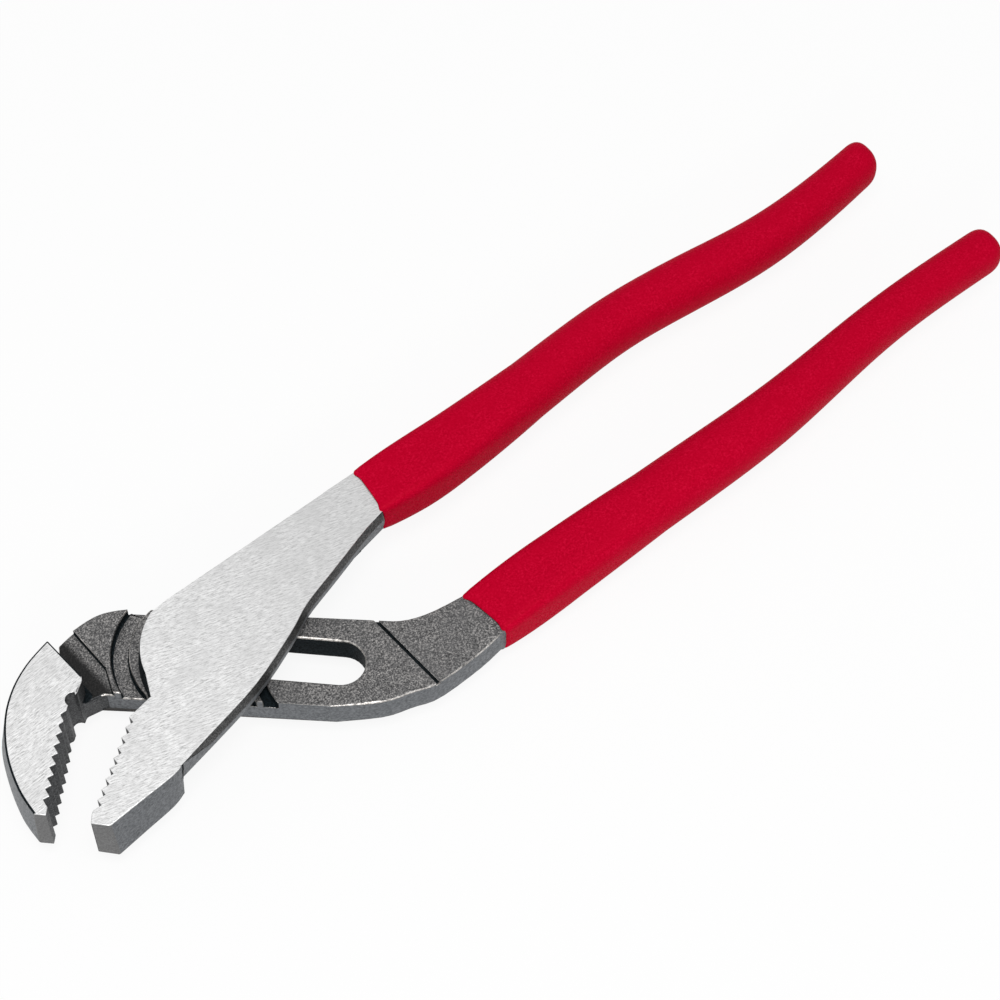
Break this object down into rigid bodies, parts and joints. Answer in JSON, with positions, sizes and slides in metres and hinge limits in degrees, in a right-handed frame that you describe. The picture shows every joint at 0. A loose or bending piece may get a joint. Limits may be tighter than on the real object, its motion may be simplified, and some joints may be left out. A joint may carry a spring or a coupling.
{
  "type": "water pump pliers",
  "caption": "Slip-joint water pump pliers with a slanted slot, arc-shaped locking grooves, angled toothed jaws and red dipped vinyl grips.",
  "frame": {"origin": "on the pivot axis, at the riveted end of the stud under the tool", "axes": "+X along the tool towards the handles, +Y towards the front half's handle, +Z out of the polished face"},
  "size_m": [0.2529, 0.057, 0.021],
  "materials": {
    "polished_steel": "ground and brushed face, dark blasted sides",
    "dark_forging": "blasted and oiled forging with worn bright edges",
    "plain_steel": "turned, lightly oiled",
    "red_vinyl": "dipped vinyl, satin"
  },
  "bodies": {
    "rear": {"rear_half": "dark_forging", "rear_grip": "red_vinyl"},
    "slider": {"pivot_washer": "plain_steel"},
    "front": {"front_half": "polished_steel", "pivot_stud": "plain_steel", "pivot_nut": "plain_steel", "front_grip": "red_vinyl"}
  },
  "joints": [
    {"name": "slot_slide", "type": "slide", "parent": "rear", "child": "slider", "axis": [0.7314, -0.682, 0], "range_m": [-0.0047, 0.0235]},
    {"name": "pivot_turn", "type": "hinge", "parent": "slider", "child": "front", "pos_m": [0, 0, 0.0089], "axis": [0, 0, 1], "range_deg": [-1.5, 60]}
  ]
}
